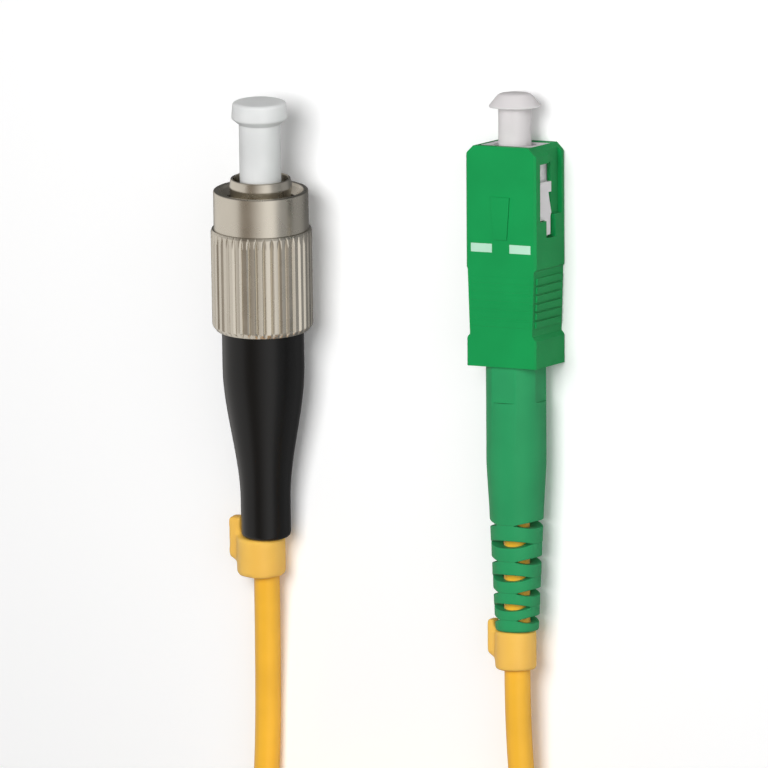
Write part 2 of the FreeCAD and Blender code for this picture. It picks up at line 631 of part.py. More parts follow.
def make_outer_housing():
    """The push-pull housing: nose, waist with grip ridges, rear block, side windows and key rib."""
    half_w = housing_width / 2
    half_h = housing_height / 2
    waist_w = half_w - waist_step
    block_w = half_w - block_step
    half_plan = [(half_w - housing_nose, ZERO), (half_w, -housing_nose), (half_w, waist_front),
                 (half_w - waist_front_step, waist_front - waist_front_step), (waist_w, waist_end),
                 (block_w, waist_end - waist_step), (block_w, -housing_length)]
    plan_corners = half_plan + [(-x, y) for x, y in reversed(half_plan)]
    body = new_body("sc_outer_housing", sc_frame)
    plan = new_sketch(body, "XY_Plane")
    add_outline(plan, plan_corners)
    extrude(body, plan, "Pad", housing_height, both=True)
    for sign in (1, -1):
        bevel = new_sketch(body, "XZ_Plane")
        tip = half_h * sign
        back = (half_h - housing_corner) * sign
        for side in (1, -1):
            edge = half_w * side
            add_outline(bevel, [(edge, back), (edge, tip), ((half_w - housing_corner) * side, tip)])
        extrude(body, bevel, "Pocket", housing_length * 2, both=True)
    waist_length = waist_front - waist_front_step - waist_end
    narrowing = waist_step - waist_front_step
    for index in range(grip_ridges):
        front = waist_front - waist_step * 2 - grip_pitch * index
        rear = front - grip_ridge_width
        sides = []
        for place in (front, rear):
            share = (waist_front - waist_front_step - place) / waist_length
            sides.append((half_w - waist_front_step - narrowing * share + grip_ridge_height, place))
        ridge = new_sketch(body, "XY_Plane")
        add_outline(ridge, sides + [(-x, y) for x, y in reversed(sides)])
        extrude(body, ridge, "Pad", grip_band_height, both=True)
        face_ridge = new_sketch(body, "XY_Plane")
        top_w = waist_w - housing_corner
        add_outline(face_ridge, rectangle((-top_w, rear), (top_w, front)))
        extrude(body, face_ridge, "Pad", half_h + key_face_ridge_height)
    rib = new_sketch(body, "XY_Plane")
    rib_half = key_rib_width / 2
    rib_rear = key_rib_front - key_rib_length
    narrow_half = rib_half * key_rib_narrowing
    add_outline(rib, [(-rib_half, key_rib_front), (rib_half, key_rib_front),
                      (narrow_half, rib_rear), (-narrow_half, rib_rear)])
    extrude(body, rib, "Pad", half_h + key_rib_height)
    front_cavity = new_sketch(body, "XZ_Plane")
    add_outline(front_cavity, rectangle((-front_cavity_width / 2, -front_cavity_height / 2),
                                        (front_cavity_width / 2, front_cavity_height / 2)))
    extrude(body, front_cavity, "Pocket", front_cavity_depth, flip=True)
    rear_cavity = new_sketch(body, "XZ_Plane", front_cavity_depth)
    add_outline(rear_cavity, rectangle((-rear_cavity_width / 2, -rear_cavity_height / 2),
                                       (rear_cavity_width / 2, rear_cavity_height / 2)))
    extrude(body, rear_cavity, "Pocket", housing_length, flip=True)
    window = new_sketch(body, "YZ_Plane")
    add_outline(window, [(window_front, window_bottom), (window_front, window_top),
                         (window_rear, window_top), (window_rear, tail_slot_top),
                         (tail_slot_rear, tail_slot_top),
                         (tail_slot_rear, tail_slot_bottom), (window_rear, tail_slot_bottom),
                         (window_rear, window_bottom)])
    extrude(body, window, "Pocket", housing_width * 2, both=True)
    for sign in (1, -1):
        channel = new_sketch(body, "YZ_Plane", half_w * sign)
        add_outline(channel, rectangle((-channel_length, channel_bottom), (loose_gap, channel_top)))
        extrude(body, channel, "Pocket", channel_depth * 2, both=True)
    marks = new_sketch(body, "XY_Plane", half_h - mark_depth)
    inner = mark_gap / 2
    right_mark = rectangle((inner, mark_front - mark_length), (inner + mark_width, mark_front))
    add_outline(marks, right_mark)
    add_outline(marks, [(-x, y) for x, y in right_mark])
    extrude(body, marks, "Pocket", housing_height, flip=True)
    return body


def make_insertion_marks():
    """The two white marks, inlaid in the housing's key face."""
    boxes = []
    for side, low_x in (("right", mark_gap / 2), ("left", -mark_gap / 2 - mark_width)):
        box = doc.addObject("Part::Box", f"mark_{side}")
        box.setExpression("Length", mark_width.text)
        box.setExpression("Width", mark_length.text)
        box.setExpression("Height", mark_depth.text)
        box.setExpression("Placement.Base.x", low_x.text)
        box.setExpression("Placement.Base.y", (mark_front - mark_length).text)
        box.setExpression("Placement.Base.z", (housing_height / 2 - mark_depth).text)
        boxes.append(box)
    pair = doc.addObject("Part::Compound", "sc_insertion_marks")
    pair.Label = "sc_insertion_marks"
    pair.Links = boxes
    pair.Placement = sc_frame
    pieces.append(pair)
    return pair


def make_plug_frame():
    """The inner plug frame: square barrel, mouth over the ferrule, side latches in the windows."""
    half_w = front_cavity_width / 2 - sliding_gap
    half_h = front_cavity_height / 2 - sliding_gap
    body = new_body("sc_plug_frame", sc_frame)
    barrel = new_sketch(body, "XZ_Plane", -frame_front)
    add_outline(barrel, rectangle((-half_w, -half_h), (half_w, half_h)))
    extrude(body, barrel, "Pad", frame_front - frame_end)
    latch = new_sketch(body, "YZ_Plane")
    high = window_top - sliding_gap
    low = window_bottom + loose_gap
    neck_low = low + latch_lug_height
    front = window_front - latch_setback
    lug_rear = front - latch_lug_length
    rear = window_rear + sliding_gap
    tail_rear = tail_slot_rear + loose_gap
    tail_high = tail_slot_top - sliding_gap
    tail_low = tail_slot_bottom + latch_lug_height
    add_outline(latch, [
        (front, high), (front, low), (lug_rear, low), (lug_rear, neck_low),
        (rear + latch_flare_length, low), (rear + loose_gap, tail_low), (tail_rear, tail_low),
        (tail_rear, tail_high), (rear, tail_high), (rear, high)])
    extrude(body, latch, "Pad", latch_reach * 2, both=True)
    seat_r = holder_flange_d / 2 + sliding_gap
    lip_r = ferrule_d / 2 + lip_bore_gap
    for radius, start, length in ((frame_bore_d / 2, frame_front, frame_front - sc_lip_front),
                                  (lip_r, sc_lip_front, lip_thickness),
                                  (seat_r, sc_lip_rear, sc_lip_rear - frame_end)):
        bore = new_sketch(body, "XZ_Plane", -start)
        add_circle(bore, radius)
        extrude(body, bore, "Pocket", length, flip=True)
    return body


def make_stop_ring():
    """The stop ring behind the frame: spigot for the spring, collar and shank for the crimp."""
    spigot_r = holder_flange_d / 2 + sliding_gap
    collar_r = rear_cavity_height / 2 - stop_ring_gap
    well_r = holder_tube_d / 2 + loose_gap
    well_end = stop_front - ferrule_travel - loose_gap
    bore_r = buffer_d / 2 + loose_gap
    return turned("sc_stop_ring", sc_frame, [
        (well_r, stop_front), (spigot_r, stop_front), (spigot_r, frame_end), (collar_r, frame_end),
        (collar_r, sc_shank_start), (shank_d / 2, sc_shank_start), (shank_d / 2, sc_shank_end),
        (bore_r, sc_shank_end), (bore_r, well_end), (well_r, well_end)])


def make_square_boot():
    """The green boot: flats inside the housing, a round head and a tail of alternating slots."""
    head_r = sc_boot_d / 2
    tail_r = sc_boot_tail_d / 2
    shoulder_r = sc_boot_shoulder_d / 2
    jacket_r = jacket_d / 2 + sliding_gap
    pocket_end = sc_shank_end - loose_gap - crimp_neck_length - sliding_gap
    body = turned("sc_boot", sc_frame, [
        (crimp_pocket_r, sc_boot_front), (head_r, sc_boot_front),
        (head_r, sc_boot_head_end + sc_boot_neck_length), (shoulder_r, sc_boot_head_end),
        (tail_r, sc_boot_end + boot_edge),
        (tail_r - boot_edge / 2, sc_boot_end), (jacket_r, sc_boot_end), (jacket_r, pocket_end),
        (crimp_pocket_r, pocket_end)])
    flats = new_sketch(body, "XZ_Plane", -sc_boot_front)
    across = sc_boot_flat_width / 2
    above = sc_boot_flat_height / 2
    add_outline(flats, rectangle((-sc_boot_d, -sc_boot_d), (sc_boot_d, sc_boot_d)))
    add_outline(flats, rectangle((-across, -above), (across, above)))
    extrude(body, flats, "Pocket", sc_boot_flat_length, flip=True)
    for sketch_plane, first in (("XY_Plane", 0), ("YZ_Plane", 1)):
        slots = new_sketch(body, sketch_plane)
        centre = slot_first
        step = slot_pitch
        for index in range(boot_slots):
            if index % 2 == first:
                for side in (1, -1):
                    low = slot_web / 2 * side
                    high = sc_boot_d * side
                    rear = centre - slot_width / 2
                    front = centre + slot_width / 2
                    if sketch_plane == "XY_Plane":
                        add_outline(slots, rectangle((low, rear), (high, front)))
                    else:
                        add_outline(slots, rectangle((rear, low), (front, high)))
            centre = centre - step
            step = step * slot_shrink
        extrude(body, slots, "Pocket", sc_boot_d * 2, both=True)
    return body


def make_square_cap():
    """The square connector's dust cap: a bored stem and a flat-topped conical head."""
    bore_r = ferrule_d / 2 + cap_bore_gap
    stem_r = sc_cap_stem_d / 2
    head_r = sc_cap_head_d / 2
    head_rear = sc_cap_top - sc_cap_head_length
    rear = sc_lip_front + sliding_gap
    bore_end = sc_ferrule_tip + cap_roof
    dome = [(head_r, head_rear + sc_cap_rim)]
    for share, rise in ((0.86, 0.36), (0.74, 0.66), (0.62, 0.86), (0.46, 0.97)):
        dome.append((head_r * share, head_rear + sc_cap_rim + (sc_cap_head_length - sc_cap_rim) * rise))
    return turned("sc_dust_cap", sc_frame, [
        (bore_r, rear), (stem_r - cap_edge / 2, rear), (stem_r, rear + cap_edge / 2),
        (stem_r, head_rear), (head_r, head_rear)] + dome + [
        (ZERO, sc_cap_top), (ZERO, bore_end), (bore_r, bore_end)])


make_outer_housing()
make_insertion_marks()
make_plug_frame()
make_ferrule("sc_ferrule", sc_frame, sc_ferrule_tip, sc_lip_rear, ferrule_slope)
make_holder("sc_ferrule_flange", sc_frame, sc_lip_rear)
make_spring("sc_spring", sc_frame, sc_lip_rear)
make_stop_ring()
make_yarn("sc_aramid_yarn", sc_frame, sc_shank_start, sc_shank_end)
make_crimp("sc_crimp_sleeve", sc_frame, sc_shank_start, sc_shank_end)
make_buffer("sc_fibre_buffer", sc_frame, sc_lip_rear, sc_shank_end)
make_square_boot()
make_square_cap()
make_clip("sc_marker_clip", sc_frame, sc_clip_d, sc_clip_shift, sc_tab_width, sc_tab_front, sc_boot_end,
          sc_boot_tail_d)
make_cable_end("sc_cable_end", sc_frame, sc_shank_end, sc_clip_end)

# Free cable. Each run leaves its marker clip, comes down to the floor and ends at the coil's
# outermost turn. The points between are hand-chosen: how far out, how far on, and how high.
jacket_r = jacket_d.value / 2
coil_y = sc_mouth_y - coil_drop.value
fc_exit = fc_frame.multVec(Vector(0, fc_clip_end.value, 0))
sc_exit = sc_frame.multVec(Vector(0, sc_clip_end.value, 0))
fc_heading = (fc_exit - fc_frame.Base).normalize()
fc_landing = fc_exit + fc_heading * ((fc_exit.z - jacket_r) / -fc_heading.z)
fc_step = round_run_length.value
fc_bends = ((-0.2, 1.0), (-1.0, 1.8))
fc_middle = [fc_landing] + [fc_landing + Vector(side, -fc_step * share, 0) for side, share in fc_bends]
sc_step = square_lead_length.value
sc_bend_side, sc_bend_share, sc_bend_lift = 0.8, 2.7, 0.6
sc_middle = [Vector(sc_x, sc_exit.y - sc_step, sc_exit.z),
             Vector(sc_x + sc_bend_side, sc_exit.y - sc_step * sc_bend_share, jacket_r + sc_bend_lift)]
fc_held_length = fc_shank_end - loose_gap - fc_clip_end
sc_held_length = sc_shank_end - loose_gap - sc_clip_end
held_length = (fc_held_length + sc_held_length).value


def free_length(exit_point, middle):
    """The length of a run from its exit to the coil, measured along its points and the last stretch."""
    points = [exit_point] + middle
    return sum((b - a).Length for a, b in zip(points, points[1:])) + points[-1].y - coil_y


straight_length = held_length + free_length(fc_exit, fc_middle) + free_length(sc_exit, sc_middle)
coil_r = (cord_length.value - straight_length) / (2 * math.pi * coil_turns)
outer_turn_r = coil_r + jacket_d.value
fc_route = [fc_exit] + fc_middle + [Vector(-outer_turn_r, coil_y, jacket_r)]
sc_route = [sc_exit] + sc_middle + [Vector(outer_turn_r, coil_y, jacket_r)]


def make_run(name, route):
    """A cable run: straight runs and tangent arcs, as large as the runs allow, swept by the jacket."""
    edges = []
    start = route[0]
    for before, corner, after in zip(route, route[1:], route[2:]):
        inward = (before - corner).normalize()
        outward = (after - corner).normalize()
        turn = math.pi - inward.getAngle(outward)
        reach = 0.45 * min((before - corner).Length, (after - corner).Length)
        radius = reach / math.tan(turn / 2)
        print(f"{name} arc radius {radius:.0f} mm, turn {math.degrees(turn):.1f} degrees")
        first = corner + inward * reach
        last = corner + outward * reach
        bisector = (inward + outward).normalize()
        middle = corner + bisector * (radius / math.cos(turn / 2) - radius)
        edges.append(Part.LineSegment(start, first).toShape())
        edges.append(Part.Arc(first, middle, last).toShape())
        start = last
    edges.append(Part.LineSegment(start, route[-1]).toShape())
    path = Part.Wire(edges)
    heading = (route[1] - route[0]).normalize()
    section = Part.Wire(Part.Circle(route[0], heading, jacket_r).toShape())
    solid = path.makePipeShell([section], True, False)
    expected = math.pi * jacket_r ** 2 * path.Length
    print(f"{name} length {path.Length:.1f} mm, volume {solid.Volume:.1f} of {expected:.1f} mm3")
    feature = doc.addObject("Part::Feature", name)
    feature.Label = name
    feature.Shape = solid
    pieces.append(feature)
    return feature


def make_coil():
    """The coiled cable as one closed ring, with a groove where the tie is wrapped round it."""
    upright = Placement(Vector(0, coil_y, 0), Rotation(Vector(1, 0, 0), 90))
    height = jacket_d * coil_layers
    corner = jacket_d / 2
    half = height / 2
    centre = Size(coil_r, repr(coil_r))
    cuts = {}
    for name, inset in (("outer", ZERO), ("inner", tie_thickness)):
        low = inset
        high = height - inset
        inside = centre - half + inset
        outside = centre + half - inset
        bevel = corner / 2
        cuts[name] = [(inside + bevel, low), (outside - bevel, low), (outside, low + bevel),
                      (outside, high - bevel), (outside - bevel, high), (inside + bevel, high),
                      (inside, high - bevel), (inside, low + bevel)]
    coil = turned("cable_coil", upright, cuts["outer"])
    band = new_sketch(coil, "XY_Plane")
    band.AttachmentOffset = Placement(Vector(0, 0, 0), Rotation(Vector(0, 1, 0), -90))
    add_outline(band, cuts["outer"])
    add_outline(band, cuts["inner"])
    groove = coil.newObject("PartDesign::Groove", "cable_coil_groove")
    groove.Profile = band
    groove.ReferenceAxis = (band, ["V_Axis"])
    groove.Midplane = True
    groove.Angle = tie_angle
    tie = new_body("coil_tie", upright)
    strap = new_sketch(tie, "XY_Plane")
    strap.AttachmentOffset = Placement(Vector(0, 0, 0), Rotation(Vector(0, 1, 0), -90))
    add_outline(strap, cuts["outer"])
    add_outline(strap, cuts["inner"])
    turn = tie.newObject("PartDesign::Revolution", "coil_tie_turned")
    turn.Profile = strap
    turn.ReferenceAxis = (strap, ["V_Axis"])
    turn.Midplane = True
    turn.Angle = tie_angle
    doc.recompute()


make_run("cable_fc_run", fc_route)
make_run("cable_sc_run", sc_route)
make_coil()

# Checks and export
doc.recompute()
for item in doc.Objects:
    if "Invalid" in item.State or "Error" in item.State:
        raise RuntimeError(f"{item.Label} failed: {item.State}")
for piece in pieces:
    if piece.Shape.isNull() or not piece.Shape.isValid() or not piece.Shape.Solids:
        raise RuntimeError(f"{piece.Label} has no valid solid")
for piece in pieces:
    piece.Shape.exportStep(f"parts/{piece.Label}.step")
    print(f"{piece.Label} {piece.Shape.Volume:.1f} mm3, {len(piece.Shape.Solids)} solid(s)")
print(f"lean {math.degrees(fc_lean):.2f} degrees, coil radius {coil_r:.2f} mm")
for label, point in (("round mouth", fc_frame.Base), ("square mouth", sc_frame.Base)):
    print(f"{label} {point.x:.3f} {point.y:.3f} {point.z:.3f}")
for label, route in (("round", fc_route), ("square", sc_route)):
    print(label, [tuple(round(value, 3) for value in point) for point in route])
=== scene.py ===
import json
import math

import bmesh
import bpy
from mathutils import Matrix, Vector


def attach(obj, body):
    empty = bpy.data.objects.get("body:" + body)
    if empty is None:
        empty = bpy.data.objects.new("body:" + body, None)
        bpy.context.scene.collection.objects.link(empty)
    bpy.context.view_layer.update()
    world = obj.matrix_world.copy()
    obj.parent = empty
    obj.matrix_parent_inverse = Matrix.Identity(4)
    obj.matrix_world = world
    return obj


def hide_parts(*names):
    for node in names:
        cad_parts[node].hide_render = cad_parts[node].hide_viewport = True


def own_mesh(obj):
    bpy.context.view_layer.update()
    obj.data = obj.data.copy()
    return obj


# A simplex fibre optic patch cord: a round screw-on connector with a black boot on the left and a
# square push-pull connector with a green slotted boot on the right, both with dust caps, and a
# yellow cable. Profiles are in millimetres and meshes in metres.

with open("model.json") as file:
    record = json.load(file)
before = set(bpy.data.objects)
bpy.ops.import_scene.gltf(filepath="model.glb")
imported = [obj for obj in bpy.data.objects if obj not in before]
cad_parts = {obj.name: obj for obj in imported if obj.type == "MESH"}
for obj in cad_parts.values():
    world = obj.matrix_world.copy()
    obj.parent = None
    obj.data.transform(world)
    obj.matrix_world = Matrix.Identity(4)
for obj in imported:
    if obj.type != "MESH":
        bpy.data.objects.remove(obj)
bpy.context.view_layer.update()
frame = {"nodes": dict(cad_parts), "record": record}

MM = 0.001
mounts = {mount["name"]: mount for mount in frame["record"]["mounts"]}


class Axis:
    """A connector's own frame: its mouth, its forward direction, and right and up across it."""

    def __init__(self, mount):
        self.mouth = Vector(mount["pos_m"])
        self.forward = Vector(mount["axis"]).normalized()
        self.right = self.forward.cross(Vector((0, 0, 1))).normalized()
        self.up = self.right.cross(self.forward)

    def at(self, across, along, above):
        """The place of a point given in millimetres to the right, forward and up."""
        return self.mouth + (self.right * across + self.forward * along + self.up * above) * MM


ROUND = Axis(mounts["round_adapter_thread"])
SQUARE = Axis(mounts["square_adapter_plug"])

# Sizes, in millimetres, as in the part, but for the round boot's taper, which follows the photo
JACKET_D = 3.0
NUT_KNURL_R = 5.85
NUT_COLLAR_R = 5.5
NUT_COLLAR_LENGTH = 4.5
NUT_LENGTH = 16.5
NUT_BORE_R = 4.15
NUT_SKIRT_R = 5.05
NUT_SHOULDER_R = 3.2
THREAD_DEPTH = 5.0
THREAD_PITCH = 0.75
THREAD_HEIGHT = 0.22
THREAD_FRONT = -1.1
THREAD_REAR = -3.5
SHOULDER_LENGTH = 1.5
KNURL_COUNT = 40
KNURL_DEPTH = 0.2
SLEEVE_FRONT = 1.4
SLEEVE_R = 3.65
SLEEVE_BORE_R = 3.2
ROUND_BOOT_FRONT = -12.2
ROUND_BOOT_HEAD_END = -21.0
ROUND_BOOT_TAPER_END = -37.0
ROUND_BOOT_END = -41.4
ROUND_BOOT_HEAD_R = 4.75
ROUND_BOOT_TAIL_R = 2.9
SQUARE_BOOT_FRONT = -19.6
SQUARE_BOOT_FLAT_END = -29.6
SQUARE_BOOT_NECK = -36.9
SQUARE_BOOT_HEAD_END = -41.9
SQUARE_BOOT_END = -56.3
SQUARE_BOOT_R = 3.45
SQUARE_BOOT_SHOULDER_R = 3.15
SQUARE_BOOT_TAIL_R = 2.5
BOOT_BORE_R = 1.6
CAP_BORE_R = 1.27

# Finish of the meshes
CORNER_STEPS = 5
BEVEL_STEPS = 3
SHARP_ANGLE = math.radians(38)
BEVEL_ANGLE = math.radians(28)
FLAT_ANGLE = math.radians(1)
WELD_DISTANCE = 1e-6
POLE_WELD_DISTANCE = 1e-7
TINY = 1e-9
MOST_OF_A_SIDE = 0.49
HOUSING_EDGE = 0.12
FRAME_EDGE = 0.08
CLIP_GRID = 0.16
CLIP_PASSES = 40


def between(low, high, count):
    """Evenly spaced numbers from low to high."""
    return [low + (high - low) * step / count for step in range(count + 1)]


def new_object(name, mesh):
    """A mesh object in the scene, smooth-shaded except at its sharper edges."""
    obj = bpy.data.objects.new(name, mesh)
    bpy.context.collection.objects.link(obj)
    mesh.polygons.foreach_set("use_smooth", [True] * len(mesh.polygons))
    mesh.set_sharp_from_angle(angle=SHARP_ANGLE)
    return obj


def rounded(corners):
    """Outline points from (radius, place, fillet) corners, each corner rounded by its fillet."""
    points = []
    count = len(corners)
    for index, (radius, place, fillet) in enumerate(corners):
        corner = Vector((radius, place))
        before = Vector(corners[index - 1][:2]) - corner
        after = Vector(corners[(index + 1) % count][:2]) - corner
        if fillet <= 0 or before.length < TINY or after.length < TINY:
            points.append(corner)
            continue
        angle = before.angle(after)
        reach = min(fillet / math.tan(angle / 2), before.length * MOST_OF_A_SIDE,
                    after.length * MOST_OF_A_SIDE)
        start = corner + before.normalized() * reach
        end = corner + after.normalized() * reach
        for share in between(0, 1, CORNER_STEPS):
            points.append(start * (1 - share) ** 2 + corner * 2 * share * (1 - share) + end * share ** 2)
    return points


def lathe(name, axis, points, around=128, swell=None, slide=None, sector=None):
    """Turns a closed outline of (radius, place) about the axis, or through a sector in degrees.

    Swell gives a point's radius at an angle, and slide its place.
    """
    mesh = bpy.data.meshes.new(name)
    builder = bmesh.new()
    whole = sector is None
    start, end = (0.0, 360.0) if whole else sector
    columns = around if whole else max(2, int(around * (end - start) / 360) + 1)
    rings = []
    for column in range(columns):
        share = column / (columns if whole else columns - 1)
        angle = math.radians(start + (end - start) * share)
        ring = []
        for radius, place in points:
            reach = swell(radius, place, angle) if swell else radius
            along = slide(radius, place, angle) if slide else place
            ring.append(builder.verts.new(axis.at(reach * math.sin(angle), along, reach * math.cos(angle))))
        rings.append(ring)
    count = len(points)
    for column in range(columns if whole else columns - 1):
        here = rings[column]
        there = rings[(column + 1) % columns]
        for row in range(count):
            after = (row + 1) % count
            builder.faces.new((here[row], here[after], there[after], there[row]))
    if not whole:
        builder.faces.new(rings[0])
        builder.faces.new(list(reversed(rings[-1])))
    bmesh.ops.remove_doubles(builder, verts=builder.verts, dist=POLE_WELD_DISTANCE)
    bmesh.ops.recalc_face_normals(builder, faces=builder.faces)
    builder.to_mesh(mesh)
    builder.free()
    return new_object(name, mesh)


def join(name, parts):
    """One object from several."""
    with bpy.context.temp_override(active_object=parts[0], selected_editable_objects=parts):
        bpy.ops.object.join()
    parts[0].name = name
    return parts[0]


def welded_copy(name, node, join_flats):
    """A copy of a node with its loose corners welded and, where asked, its flat faces made whole."""
    mesh = frame["nodes"][node].data.copy()
    builder = bmesh.new()
    builder.from_mesh(mesh)
    bmesh.ops.remove_doubles(builder, verts=builder.verts, dist=WELD_DISTANCE)
    if join_flats:
        bmesh.ops.dissolve_limit(builder, angle_limit=FLAT_ANGLE, verts=builder.verts, edges=builder.edges)
    builder.to_mesh(mesh)
    builder.free()
    mesh.materials.clear()
    return new_object(name, mesh)


def softened_copy(name, node, width):
    """A copy of a flat-sided node with its edges rounded."""
    obj = welded_copy(name, node, join_flats=True)
    bevel = obj.modifiers.new("edges", "BEVEL")
    bevel.width = width * MM
    bevel.segments = BEVEL_STEPS
    bevel.limit_method = "ANGLE"
    bevel.angle_limit = BEVEL_ANGLE
    bevel.use_clamp_overlap = True
    shading = obj.modifiers.new("shading", "WEIGHTED_NORMAL")
    shading.weight = 100
    return obj


def melted_copy(name, node, grid, passes):
    """A copy of a soft moulded node, remeshed evenly and smoothed so that all its edges run round."""
    obj = welded_copy(name, node, join_flats=False)
    even = obj.modifiers.new("even", "REMESH")
    even.mode = "VOXEL"
    even.voxel_size = grid * MM
    even.use_smooth_shade = True
    smooth = obj.modifiers.new("smooth", "SMOOTH")
    smooth.factor = 0.5
    smooth.iterations = passes
    return obj


# Materials
def new_material(name):
    material = bpy.data.materials.new(name)
    material.use_nodes = True
    nodes = material.node_tree.nodes
    return material, nodes, material.node_tree.links, nodes["Principled BSDF"]


def add_noise(nodes, links, scale, detail, stretch=(1, 1, 1)):
    """Noise on the object's own coordinates, stretched along an axis where asked."""
    coordinates = nodes.new("ShaderNodeTexCoord")
    mapping = nodes.new("ShaderNodeMapping")
    mapping.inputs["Scale"].default_value = stretch
    noise = nodes.new("ShaderNodeTexNoise")
    noise.inputs["Scale"].default_value = scale
    noise.inputs["Detail"].default_value = detail
    links.new(coordinates.outputs["Object"], mapping.inputs["Vector"])
    links.new(mapping.outputs["Vector"], noise.inputs["Vector"])
    return noise


def add_bump(nodes, links, shader, height, strength, distance):
    bump = nodes.new("ShaderNodeBump")
    bump.inputs["Strength"].default_value = strength
    bump.inputs["Distance"].default_value = distance
    links.new(height, bump.inputs["Height"])
    links.new(bump.outputs["Normal"], shader.inputs["Normal"])


def add_range(nodes, links, value, low, high):
    """Maps a 0 to 1 value onto a range."""
    spread = nodes.new("ShaderNodeMapRange")
    spread.inputs["To Min"].default_value = low
    spread.inputs["To Max"].default_value = high
    links.new(value, spread.inputs["Value"])
    return spread.outputs["Result"]


def moulded(name, colour, roughness, grain=4000, bump=0.08, shade=0.06, subsurface=0.0, gloss=0.5):
    """Moulded plastic or rubber: fine surface grain, slightly uneven gloss and tone."""
    material, nodes, links, shader = new_material(name)
    fine = add_noise(nodes, links, grain, 3)
    broad = add_noise(nodes, links, 180, 2)
    ramp = nodes.new("ShaderNodeValToRGB")
    ramp.color_ramp.elements[0].position = 0.3
    ramp.color_ramp.elements[1].position = 0.7
    ramp.color_ramp.elements[0].color = [channel * (1 - shade) for channel in colour] + [1]
    ramp.color_ramp.elements[1].color = [min(1, channel * (1 + shade)) for channel in colour] + [1]
    links.new(broad.outputs["Fac"], ramp.inputs["Fac"])
    links.new(ramp.outputs["Color"], shader.inputs["Base Color"])
    links.new(add_range(nodes, links, fine.outputs["Fac"], roughness * 0.85, roughness * 1.15),
              shader.inputs["Roughness"])
    add_bump(nodes, links, shader, fine.outputs["Fac"], bump, 0.00004)
    shader.inputs["Subsurface Weight"].default_value = subsurface
    shader.inputs["Subsurface Radius"].default_value = (1.0, 1.0, 1.0)
    shader.inputs["Subsurface Scale"].default_value = 0.0012
    shader.inputs["Specular IOR Level"].default_value = gloss
    return material


def metal(name, colour, roughness):
    """Turned and plated metal: fine tool lines around the axis, uneven brightness."""
    material, nodes, links, shader = new_material(name)
    shader.inputs["Metallic"].default_value = 1.0
    tool_lines = add_noise(nodes, links, 9000, 2, (0.02, 1, 0.02))
    broad = add_noise(nodes, links, 400, 4)
    ramp = nodes.new("ShaderNodeValToRGB")
    ramp.color_ramp.elements[0].color = [channel * 0.86 for channel in colour] + [1]
    ramp.color_ramp.elements[1].color = list(colour) + [1]
    links.new(broad.outputs["Fac"], ramp.inputs["Fac"])
    links.new(ramp.outputs["Color"], shader.inputs["Base Color"])
    links.new(add_range(nodes, links, broad.outputs["Fac"], roughness * 0.7, roughness * 1.3),
              shader.inputs["Roughness"])
    add_bump(nodes, links, shader, tool_lines.outputs["Fac"], 0.12, 0.00003)
    return material


def woven(name, colour):
    """Woven hook-and-loop tape."""
    material, nodes, links, shader = new_material(name)
    coordinates = nodes.new("ShaderNodeTexCoord")
    waves = nodes.new("ShaderNodeTexWave")
    waves.inputs["Scale"].default_value = 900
    waves.inputs["Distortion"].default_value = 3
    links.new(coordinates.outputs["Object"], waves.inputs["Vector"])
    shader.inputs["Base Color"].default_value = (*colour, 1)
    shader.inputs["Roughness"].default_value = 0.9
    shader.inputs["Sheen Weight"].default_value = 0.5
    add_bump(nodes, links, shader, waves.outputs["Fac"], 0.6, 0.0002)
    return material


NICKEL = metal("nickel_plate", (0.8, 0.75, 0.65), 0.28)
STEEL = metal("drawn_steel", (0.5, 0.5, 0.5), 0.3)
ZIRCONIA = moulded("white_zirconia", (0.9, 0.9, 0.87), 0.15, bump=0.01)
BLACK_RUBBER = moulded("black_boot_rubber", (0.0022, 0.0022, 0.0024), 0.3, grain=2600, bump=0.06,
                       shade=0.15, gloss=0.4)
JACKET = moulded("yellow_cable_jacket", (0.96, 0.5, 0.035), 0.42, grain=2200, bump=0.1)
CLIP = moulded("orange_clip_plastic", (1.0, 0.56, 0.1), 0.42, subsurface=0.15)
CLEAR_CAP = moulded("milky_cap_plastic", (0.78, 0.79, 0.785), 0.34, bump=0.03, subsurface=0.5)
PALE_CAP = moulded("pale_cap_plastic", (0.72, 0.69, 0.695), 0.34, bump=0.03, subsurface=0.5)
GREEN = moulded("green_housing_plastic", (0.006, 0.3, 0.075), 0.5, bump=0.06, gloss=0.25)
GREEN_RUBBER = moulded("green_boot_rubber", (0.024, 0.315, 0.112), 0.5, bump=0.08, gloss=0.25)
WHITE = moulded("white_frame_plastic", (0.8, 0.77, 0.79), 0.4, subsurface=0.2)
MARK = moulded("pale_mark_paint", (0.48, 0.77, 0.59), 0.5, gloss=0.25)
YARN = moulded("strength_yarn", (0.8, 0.55, 0.1), 0.8, grain=6000, bump=0.6)
BUFFER = moulded("fibre_buffer", (0.8, 0.8, 0.76), 0.4)
TAPE = woven("tie_tape", (0.02, 0.02, 0.022))


def dress(piece, material, slot, body="root", *nodes):
    """Gives a new piece its material and its body, and hides the nodes that it stands for. The slot is not
    used.
    """
    piece.data.materials.clear()
    piece.data.materials.append(material)
    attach(piece, body)
    if nodes:
        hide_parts(*nodes)


def repaint(node, material):
    """Gives a kept node its own material."""
    mesh_object = frame["nodes"][node]
    for slot in mesh_object.material_slots:
        slot.material = material
    if not mesh_object.material_slots:
        mesh_object.data.materials.append(material)


